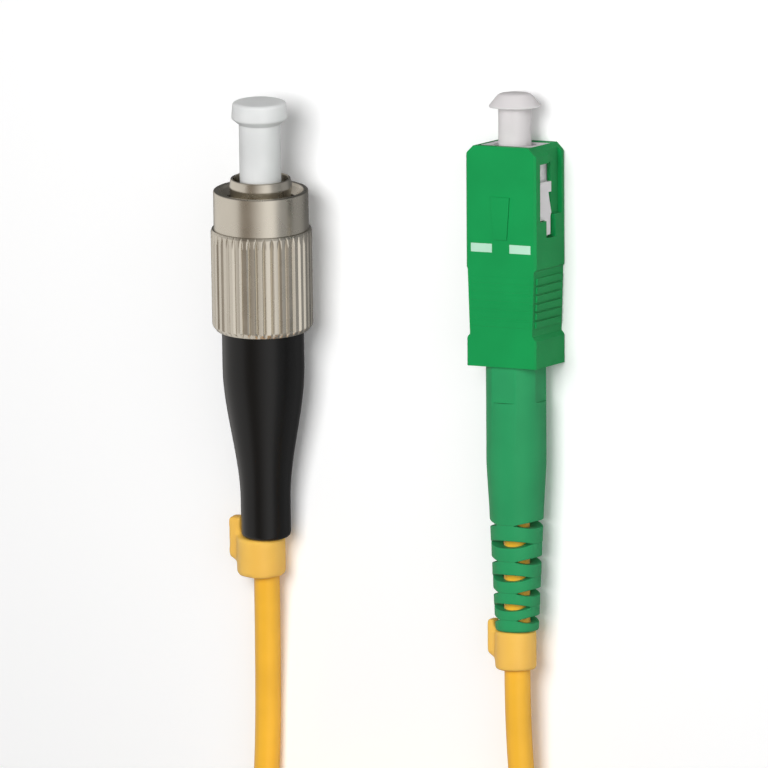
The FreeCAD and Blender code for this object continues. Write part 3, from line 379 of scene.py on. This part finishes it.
# Round connector
def make_coupling_nut():
    """The coupling nut: smooth collar, knurl with grooves that start in a point, threaded mouth."""
    knurl_front = -NUT_COLLAR_LENGTH
    knurl_rear = -NUT_LENGTH + 0.6
    knurl_edge_r = NUT_KNURL_R - 0.12
    groove_start_length = 0.8
    thread_fade_rear = 0.4
    thread_fade_front = 0.2
    outer = rounded([
        (4.95, 0.0, 0.08), (NUT_COLLAR_R, 0.0, 0.2), (NUT_COLLAR_R, knurl_front, 0.05),
        (knurl_edge_r, knurl_front - 0.02, 0.02), (NUT_KNURL_R, knurl_front - 0.3, 0.15),
        (NUT_KNURL_R, knurl_rear, 0.5), (NUT_KNURL_R - 0.45, -NUT_LENGTH, 0.15),
        (NUT_SKIRT_R, -NUT_LENGTH, 0.08), (NUT_SKIRT_R, -THREAD_DEPTH - SHOULDER_LENGTH, 0.0),
        (NUT_SHOULDER_R, -THREAD_DEPTH - SHOULDER_LENGTH, 0.05), (NUT_SHOULDER_R, -THREAD_DEPTH, 0.05),
        (NUT_BORE_R, -THREAD_DEPTH, 0.0), (NUT_BORE_R, THREAD_FRONT, 0.0), (4.75, -0.35, 0.1)])
    points = []
    for point, after in zip(outer, outer[1:] + outer[:1]):
        points.append(point)
        on_knurl = point.x > knurl_edge_r and after.x > knurl_edge_r
        if on_knurl and abs(point.y - after.y) > 1.0:
            points += [Vector((NUT_KNURL_R, place)) for place in between(point.y, after.y, 30)[1:-1]]
        if point.x == after.x == NUT_BORE_R:
            points += [Vector((NUT_BORE_R, place)) for place in between(THREAD_REAR, THREAD_FRONT, 40)[:-1]]

    def swell(radius, place, angle):
        if radius == NUT_BORE_R and THREAD_REAR < place < THREAD_FRONT:
            phase = (place / THREAD_PITCH + angle / (2 * math.pi)) % 1.0
            fade = min(1, (place - THREAD_REAR) / thread_fade_rear,
                       (THREAD_FRONT - place) / thread_fade_front)
            return radius - THREAD_HEIGHT * (1 - abs(2 * phase - 1)) * fade
        if radius > NUT_COLLAR_R + 0.02 and place < knurl_front:
            phase = (angle * KNURL_COUNT / (2 * math.pi)) % 1.0
            off_centre = abs(phase - 0.5) * 2
            half = 0.5 * min(1, (knurl_front - place) / groove_start_length) + 1e-6
            cut = max(0.0, 1 - off_centre / half)
            return max(radius - KNURL_DEPTH * cut * min(1, half / 0.5), NUT_COLLAR_R - 0.1)
        return radius

    piece = lathe("coupling_nut", ROUND, points, around=KNURL_COUNT * 12, swell=swell)
    dress(piece, NICKEL, "nickel", "fc_nut", "fc_coupling_nut")


def make_plug_body():
    """The plug body, whose rounded sleeve shows in the nut's mouth, with its key below."""
    key_front = -0.7
    key_rear = -3.7
    flange_r = 3.9
    flange_rear = -4.9
    tube_r = 3.15
    tube_rear = -11.2
    spring_bore_r = 2.3
    wall_front = -3.1
    wall_rear = -4.0
    ferrule_hole_r = 1.45
    points = rounded([
        (SLEEVE_BORE_R, SLEEVE_FRONT, 0.12), (SLEEVE_R - 0.2, SLEEVE_FRONT, 0.35),
        (SLEEVE_R, SLEEVE_FRONT - 1.0, 0.9), (SLEEVE_R - 0.15, key_front, 0.3),
        (SLEEVE_R - 0.15, key_rear, 0.0), (flange_r, key_rear, 0.08), (flange_r, flange_rear, 0.08),
        (tube_r, flange_rear, 0.0), (tube_r, tube_rear, 0.05), (spring_bore_r, tube_rear, 0.0),
        (spring_bore_r, wall_rear, 0.0), (ferrule_hole_r, wall_rear, 0.05),
        (ferrule_hole_r, wall_front, 0.05), (SLEEVE_BORE_R, wall_front, 0.0)])
    body = lathe("plug_body_turned", ROUND, points, around=160)
    key_points = rounded([(3.35, key_front, 0.05), (3.95, key_front, 0.1), (3.95, key_rear, 0.0),
                          (3.35, key_rear, 0.0)])
    key = lathe("plug_body_key", ROUND, key_points, around=160, sector=(163, 197))
    dress(join("plug_body", [body, key]), NICKEL, "nickel", "root", "fc_plug_body")


def make_round_boot():
    """The black boot, one smooth S from its wide head to its slim tail."""
    pocket_r = 2.6
    pocket_end = -22.0
    taper = []
    for share in between(0, 1, 22):
        ease = share * share * (3 - 2 * share)
        place = ROUND_BOOT_HEAD_END + (ROUND_BOOT_TAPER_END - ROUND_BOOT_HEAD_END) * share
        taper.append(Vector((ROUND_BOOT_HEAD_R + (ROUND_BOOT_TAIL_R - ROUND_BOOT_HEAD_R) * ease, place)))
    head = rounded([(pocket_r, ROUND_BOOT_FRONT, 0.0), (ROUND_BOOT_HEAD_R, ROUND_BOOT_FRONT, 0.3),
                    (ROUND_BOOT_HEAD_R, ROUND_BOOT_HEAD_END, 0.0),
                    (pocket_r, ROUND_BOOT_HEAD_END, 0.0)])[:-2]
    tail = rounded([(pocket_r, ROUND_BOOT_TAPER_END, 0.0), (ROUND_BOOT_TAIL_R, ROUND_BOOT_TAPER_END, 0.0),
                    (ROUND_BOOT_TAIL_R, ROUND_BOOT_END, 0.75), (BOOT_BORE_R, ROUND_BOOT_END, 0.1),
                    (BOOT_BORE_R, pocket_end, 0.0), (pocket_r, pocket_end, 0.0)])[2:]
    piece = lathe("round_boot", ROUND, head + taper + tail, around=160)
    dress(piece, BLACK_RUBBER, "black_boot", "root", "fc_boot")


def make_round_cap():
    """The round connector's dust cap, a stem over the ferrule and a flat rounded head."""
    points = rounded([
        (CAP_BORE_R, -3.0, 0.0), (2.4, -3.0, 0.2), (2.4, 7.8, 0.15), (3.25, 8.5, 0.35),
        (3.1, 10.25, 0.35), (2.7, 10.4, 0.5), (0.0, 10.4, 0.0), (0.0, 5.5, 0.0), (CAP_BORE_R, 5.5, 0.3)])
    piece = lathe("round_dust_cap", ROUND, points, around=128)
    dress(piece, CLEAR_CAP, "clear_cap", "fc_cap", "fc_dust_cap")


# Square connector
def make_square_boot():
    """The green boot: flats inside the housing, round head, and a tail of rings joined by webs."""
    slot_pitch = 2.2
    slot_shrink = 0.93
    slot_half = 0.42
    slot_count = 7
    first_slot = -43.8
    web_half = 1.1
    web_overlap = 0.3
    web_inset = 0.03
    lens_power = 2.2
    lens_inner_reach = 0.01
    lens_outer_reach = 0.2
    pocket_r = 2.5
    pocket_end = -27.4
    edge_fillet = 0.14
    bore_fillet = 0.05
    centres = []
    place = first_slot
    for _ in range(slot_count):
        centres.append(place)
        place -= slot_pitch
        slot_pitch *= slot_shrink

    def outer_radius(place):
        share = (place - SQUARE_BOOT_HEAD_END) / (SQUARE_BOOT_END - SQUARE_BOOT_HEAD_END)
        return SQUARE_BOOT_SHOULDER_R + (SQUARE_BOOT_TAIL_R - SQUARE_BOOT_SHOULDER_R) * max(0, share)

    first_edge = centres[0] + slot_half
    flat_across = 3.175
    flat_above = 3.1
    flats_from_r = 2.65

    def flats(radius, place, angle):
        """Cuts the front part's sides flat, to fit in the housing."""
        if place < SQUARE_BOOT_FLAT_END or radius < flats_from_r:
            return radius
        across = max(1e-6, abs(math.sin(angle)))
        above = max(1e-6, abs(math.cos(angle)))
        return min(radius, flat_across / across, flat_above / above)

    def slot_edges(radius, place, angle):
        """Closes each slot towards its webs, so that it opens as a lens."""
        for index, centre in enumerate(centres):
            side = place - centre
            if slot_half - lens_inner_reach < abs(side) < slot_half + lens_outer_reach:
                off_web = abs(math.sin(angle)) if index % 2 == 0 else abs(math.cos(angle))
                start = math.asin(web_half / outer_radius(centre))
                share = (math.asin(min(1, off_web)) - start) / (math.pi / 2 - start)
                opening = 1 - (1 - min(1, max(0, share))) ** lens_power
                return place - math.copysign(slot_half * (1 - opening), side)
        return place

    head_points = rounded([
        (pocket_r, SQUARE_BOOT_FRONT, 0.0), (SQUARE_BOOT_R, SQUARE_BOOT_FRONT, 0.2),
        (SQUARE_BOOT_R, SQUARE_BOOT_FLAT_END + 0.02, 0.0),
        (SQUARE_BOOT_R, SQUARE_BOOT_FLAT_END - 0.02, 0.0),
        (SQUARE_BOOT_R, SQUARE_BOOT_NECK, 12.0), (SQUARE_BOOT_SHOULDER_R, SQUARE_BOOT_HEAD_END, 4.0),
        (outer_radius(first_edge), first_edge, edge_fillet), (BOOT_BORE_R, first_edge, bore_fillet),
        (BOOT_BORE_R, pocket_end, 0.0), (pocket_r, pocket_end, 0.0)])
    parts = [lathe("boot_head", SQUARE, head_points, around=192, swell=flats, slide=slot_edges)]
    for index, centre in enumerate(centres):
        front = centre - slot_half
        rear = centres[index + 1] + slot_half if index + 1 < len(centres) else SQUARE_BOOT_END
        rear_fillet = edge_fillet if index + 1 < len(centres) else 0.4
        ring = rounded([(BOOT_BORE_R, front, bore_fillet), (outer_radius(front), front, edge_fillet),
                        (outer_radius(rear), rear, rear_fillet), (BOOT_BORE_R, rear, bore_fillet)])
        parts.append(lathe(f"boot_ring_{index}", SQUARE, ring, around=128, slide=slot_edges))
        open_sideways = index % 2 == 0
        for turn in ((0, 180) if open_sideways else (90, 270)):
            high = outer_radius(centre) - web_inset
            half_turn = math.degrees(math.asin(web_half / high))
            low = BOOT_BORE_R + 0.02
            web_front = centre + slot_half + web_overlap
            web_rear = centre - slot_half - web_overlap
            web = [Vector((low, web_front)), Vector((high, web_front)),
                   Vector((high, web_rear)), Vector((low, web_rear))]
            parts.append(lathe(f"boot_web_{index}_{turn}", SQUARE, web, around=128,
                               sector=(turn - half_turn, turn + half_turn)))
    boot = join("square_boot", parts)
    boot.visible_glossy = False
    dress(boot, GREEN_RUBBER, "green_boot", "root", "sc_boot")


def make_square_cap():
    """The square connector's dust cap: a stem and a flat-topped conical head with a thin rim."""
    points = rounded([
        (CAP_BORE_R, -4.2, 0.0), (1.9, -4.2, 0.2), (1.9, 4.2, 0.15), (2.95, 4.2, 0.05), (2.95, 4.4, 0.1),
        (1.85, 5.75, 0.9), (0.9, 5.9, 1.5), (0.0, 5.9, 0.0), (0.0, 2.6, 0.0), (CAP_BORE_R, 2.6, 0.0)])
    piece = lathe("square_dust_cap", SQUARE, points, around=128)
    dress(piece, PALE_CAP, "pale_cap", "sc_cap", "sc_dust_cap")


def make_flat_sided_pieces():
    """The housing and the plug frame with softened edges, and the two clips with round ones."""
    housing = softened_copy("outer_housing", "sc_outer_housing", HOUSING_EDGE)
    housing.visible_glossy = False
    dress(housing, GREEN, "green_housing", "sc_housing", "sc_outer_housing")
    plug_frame = softened_copy("plug_frame", "sc_plug_frame", FRAME_EDGE)
    dress(plug_frame, WHITE, "white_frame", "root", "sc_plug_frame")
    for name, node in (("round_marker_clip", "fc_marker_clip"), ("square_marker_clip", "sc_marker_clip")):
        dress(melted_copy(name, node, CLIP_GRID, CLIP_PASSES), CLIP, "orange_clip", "root", node)


def make_springs():
    """The two coil springs, copied from their nodes with meshes of their own."""
    for name, node, joint, axis in (("round_spring", "fc_spring", "fc_ferrule_float", ROUND),
                                    ("square_spring", "sc_spring", "sc_ferrule_float", SQUARE)):
        mesh = frame["nodes"][node].data.copy()
        spring = new_object(name, mesh)
        dress(spring, STEEL, "bare_steel", "root", node)
        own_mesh(spring)


# Cable. The points repeat the part's routes, in metres, and the coil's turns come from a loop.
ROUND_RUN = [(-0.016661, -0.024705, 0.002721), (-0.017217, -0.036491, 0.0015),
             (-0.017417, -0.047491, 0.0015), (-0.018217, -0.056291, 0.0015)]
SQUARE_RUN = [(0.016594, -0.0334, 0.0037), (0.016594, -0.0419, 0.0037), (0.017394, -0.05635, 0.0021)]
COIL_CENTRE_Y = -0.0705
COIL_R = 0.01596
COIL_TURNS = 8.5
POINTS_A_TURN = 16
# Shares of a turn: where the tie sits, and where a turn crosses to its next place, clear of the tie
TIE_SHARE = 0.25
CROSSING_START = 0.29
CROSSING_LENGTH = 0.2
TAPE_THICKNESS = 0.45
# Near the tie the turns lie on its tape: in full up to one point away, and no more from three points away
LIFT_FULL = 1
LIFT_NONE = 3
# The place of each turn in the coil's section, as (columns outward, layers up), in winding order. The
# last turn comes down to the place that the first one has left
WINDING = [(1, 0), (0, 0), (-1, 0), (-1, 1), (-1, 2), (0, 2), (0, 1), (1, 2), (1, 1), (1, 0)]


def coil_points():
    """The coil from the left tangent, round by the rear, to the right tangent eight and a half turns on."""
    points = []
    gap = JACKET_D * MM
    total = int(COIL_TURNS * POINTS_A_TURN)
    # The curve runs inside of its points, so they stand a little further out
    widen = (1 / math.cos(math.pi / POINTS_A_TURN)) ** 0.5
    for step in range(total + 1):
        turns = step / POINTS_A_TURN
        index = int(turns)
        within = turns - index
        share = min(1, max(0, (within - CROSSING_START) / CROSSING_LENGTH))
        share = share * share * (3 - 2 * share)
        here = WINDING[min(index, len(WINDING) - 1)]
        there = WINDING[min(index + 1, len(WINDING) - 1)]
        out = here[0] + (there[0] - here[0]) * share
        up = here[1] + (there[1] - here[1]) * share
        angle = math.pi + 2 * math.pi * turns
        radius = (COIL_R + out * gap) * widen
        from_tie = abs(within - TIE_SHARE) * POINTS_A_TURN
        lift = TAPE_THICKNESS * MM * min(1, max(0, (LIFT_NONE - from_tie) / (LIFT_NONE - LIFT_FULL)))
        points.append((radius * math.cos(angle), COIL_CENTRE_Y + radius * math.sin(angle),
                       gap / 2 + up * gap + lift))
    return points


def make_cable():
    """One cord from the round connector's clip, through the coil, to the square connector's clip."""
    points = ROUND_RUN + coil_points() + list(reversed(SQUARE_RUN))
    curve = bpy.data.curves.new("cable", "CURVE")
    curve.dimensions = "3D"
    curve.bevel_depth = JACKET_D * MM / 2
    curve.bevel_resolution = 10
    curve.resolution_u = 10
    curve.use_fill_caps = True
    spline = curve.splines.new("NURBS")
    spline.points.add(len(points) - 1)
    for point, place in zip(spline.points, points):
        point.co = (*place, 1)
    spline.order_u = 3
    spline.use_endpoint_u = True
    cable = bpy.data.objects.new("cable", curve)
    bpy.context.collection.objects.link(cable)
    dress(cable, JACKET, "yellow_jacket", "root", "cable_fc_run", "cable_coil", "cable_sc_run")
    return cable


def make_tie():
    """The hook-and-loop tape round the coil, opposite the connectors."""
    half_angle = 9
    outer_fillet = 1.2
    inner_fillet = 0.9
    middle = COIL_R / MM
    half = JACKET_D * 1.5
    wide = half + TAPE_THICKNESS
    corners = ((-1, -1), (1, -1), (1, 1), (-1, 1))
    outline = rounded([(middle + side * wide, wide + rise * wide, outer_fillet) for side, rise in corners])
    inner = rounded([(middle + side * half, wide + rise * half, inner_fillet) for side, rise in corners])
    mesh = bpy.data.meshes.new("coil_tape")
    builder = bmesh.new()
    rings = []
    for angle in between(-half_angle, half_angle, 8):
        turn = math.radians(angle)
        for loop in (outline, inner):
            ring = []
            for radius, place in loop:
                ring.append(builder.verts.new((radius * MM * math.sin(turn),
                                               COIL_CENTRE_Y - radius * MM * math.cos(turn), place * MM)))
            rings.append(ring)
    count = len(outline)
    for index in range(0, len(rings) - 2, 2):
        for row in range(count):
            after = (row + 1) % count
            builder.faces.new((rings[index][row], rings[index][after],
                               rings[index + 2][after], rings[index + 2][row]))
            builder.faces.new((rings[index + 1][row], rings[index + 3][row],
                               rings[index + 3][after], rings[index + 1][after]))
    for first in (0, len(rings) - 2):
        for row in range(count):
            after = (row + 1) % count
            builder.faces.new((rings[first][row], rings[first + 1][row],
                               rings[first + 1][after], rings[first][after]))
    bmesh.ops.recalc_face_normals(builder, faces=builder.faces)
    builder.to_mesh(mesh)
    builder.free()
    tie = new_object("coil_tape", mesh)
    dress(tie, TAPE, "tie", "root", "coil_tie")
    return tie


make_coupling_nut()
make_plug_body()
make_round_boot()
make_round_cap()
make_square_boot()
make_square_cap()
make_flat_sided_pieces()
make_springs()
cable = make_cable()
tie = make_tie()

for node, material in (("fc_ferrule", ZIRCONIA), ("sc_ferrule", ZIRCONIA), ("fc_ferrule_flange", NICKEL),
                       ("sc_ferrule_flange", NICKEL), ("fc_rear_body", NICKEL), ("sc_stop_ring", NICKEL),
                       ("fc_aramid_yarn", YARN), ("sc_aramid_yarn", YARN), ("fc_crimp_sleeve", STEEL),
                       ("sc_crimp_sleeve", STEEL), ("fc_fibre_buffer", BUFFER), ("sc_fibre_buffer", BUFFER),
                       ("fc_cable_end", JACKET), ("sc_cable_end", JACKET), ("sc_insertion_marks", MARK)):
    repaint(node, material)


# Floor, light and camera
FLOOR_WHITE = 0.97
FLOOR_GLOW = 0.09


def make_floor():
    """A white floor that glows a little, so that shadows stay soft."""
    bpy.ops.mesh.primitive_plane_add(size=4, location=(0, 0, 0))
    floor = bpy.context.object
    floor.name = "floor"
    material, _, _, shader = new_material("white_floor")
    shader.inputs["Base Color"].default_value = (FLOOR_WHITE, FLOOR_WHITE, FLOOR_WHITE, 1)
    shader.inputs["Roughness"].default_value = 0.8
    shader.inputs["Emission Color"].default_value = (1, 1, 1, 1)
    shader.inputs["Emission Strength"].default_value = FLOOR_GLOW
    floor.data.materials.append(material)
    floor.visible_glossy = False


def make_light(name, place, size, power):
    """A square soft box that faces the middle."""
    data = bpy.data.lights.new(name, "AREA")
    data.size = size
    data.energy = power
    light = bpy.data.objects.new(name, data)
    bpy.context.collection.objects.link(light)
    light.location = place
    light.rotation_euler = (-Vector(place)).to_track_quat("-Z", "Y").to_euler()
    light.visible_glossy = False


def make_world():
    """Studio walls that the pieces reflect: bright on both sides, and dim overhead and ahead."""
    world = bpy.data.worlds.new("studio")
    bpy.context.scene.world = world
    world.use_nodes = True
    nodes = world.node_tree.nodes
    links = world.node_tree.links
    coordinates = nodes.new("ShaderNodeTexCoord")
    parts = nodes.new("ShaderNodeSeparateXYZ")
    angle = nodes.new("ShaderNodeMath")
    angle.operation = "ARCTAN2"
    turns = nodes.new("ShaderNodeMapRange")
    turns.inputs["From Min"].default_value = -math.pi
    turns.inputs["From Max"].default_value = math.pi
    ramp = nodes.new("ShaderNodeValToRGB")
    stops = ramp.color_ramp.elements
    stops[0].position = 0.0
    stops[0].color = WORLD_BANDS[0][1]
    stops[1].position = 1.0
    stops[1].color = WORLD_BANDS[0][1]
    for position, colour in WORLD_BANDS:
        stops.new(position).color = colour
    links.new(coordinates.outputs["Generated"], parts.inputs["Vector"])
    links.new(parts.outputs["X"], angle.inputs[0])
    links.new(parts.outputs["Z"], angle.inputs[1])
    links.new(angle.outputs["Value"], turns.inputs["Value"])
    links.new(turns.outputs["Result"], ramp.inputs["Fac"])
    links.new(ramp.outputs["Color"], nodes["Background"].inputs["Color"])
    ahead = nodes.new("ShaderNodeMapRange")
    ahead.inputs["From Min"].default_value = WORLD_AHEAD_START
    ahead.inputs["From Max"].default_value = WORLD_AHEAD_END
    ahead.inputs["To Min"].default_value = WORLD_STRENGTH
    ahead.inputs["To Max"].default_value = WORLD_STRENGTH_AHEAD
    links.new(parts.outputs["Y"], ahead.inputs["Value"])
    links.new(ahead.outputs["Result"], nodes["Background"].inputs["Strength"])
    world.cycles_visibility.diffuse = False


def grey(value, warmth=0.0):
    return (value * (1 + warmth), value, value * (1 - warmth), 1)


# How bright the studio is at each share of a turn, from below by the left, overhead and right
WORLD_BANDS = [(0.12, grey(0.15)), (0.18, grey(0.72, 0.03)), (0.41, grey(0.72, 0.03)),
               (0.445, grey(0.22, 0.15)), (0.5, grey(0.22, 0.15)), (0.62, grey(0.95, 0.02)),
               (0.67, grey(0.95, 0.02)), (0.7, grey(0.34)), (0.9, grey(0.3)), (0.95, grey(0.12))]
WORLD_STRENGTH = 1.0
WORLD_STRENGTH_AHEAD = 0.3
WORLD_AHEAD_START = 0.1
WORLD_AHEAD_END = 0.7

CAMERA_DISTANCE = 1.3
CAMERA_TARGET = Vector((-0.00039, -0.00125, 0.004))
CAMERA_SIDE = math.radians(28)
CAMERA_FRONT = math.radians(8)
CAMERA_ROLL = math.radians(-0.36)
CAMERA_LENS = 528.6
CAMERA_SENSOR = 36
CAMERA_CLIP = 0.01


def make_camera():
    """The photo's view: from above, over the right-hand side and a little towards the noses."""
    toward = Vector((math.sin(CAMERA_SIDE) * math.cos(CAMERA_FRONT), math.sin(CAMERA_FRONT),
                     math.cos(CAMERA_SIDE) * math.cos(CAMERA_FRONT)))
    data = bpy.data.cameras.new("camera")
    data.lens = CAMERA_LENS
    data.sensor_width = CAMERA_SENSOR
    data.clip_start = CAMERA_CLIP
    camera = bpy.data.objects.new("camera", data)
    bpy.context.collection.objects.link(camera)
    across = Vector((0, 1, 0)).cross(toward).normalized()
    upward = toward.cross(across)
    right = across * math.cos(CAMERA_ROLL) + upward * math.sin(CAMERA_ROLL)
    top = upward * math.cos(CAMERA_ROLL) - across * math.sin(CAMERA_ROLL)
    camera.matrix_world = (Matrix.Translation(CAMERA_TARGET + toward * CAMERA_DISTANCE)
                           @ Matrix((right, top, toward)).transposed().to_4x4())
    bpy.context.scene.camera = camera


make_floor()
make_world()
make_light("key", (0.03, 0.12, 0.45), 0.26, 2.0)
make_light("fill", (0.32, 0.05, 0.32), 0.4, 0.55)
make_camera()
bpy.context.scene.view_settings.view_transform = "Standard"
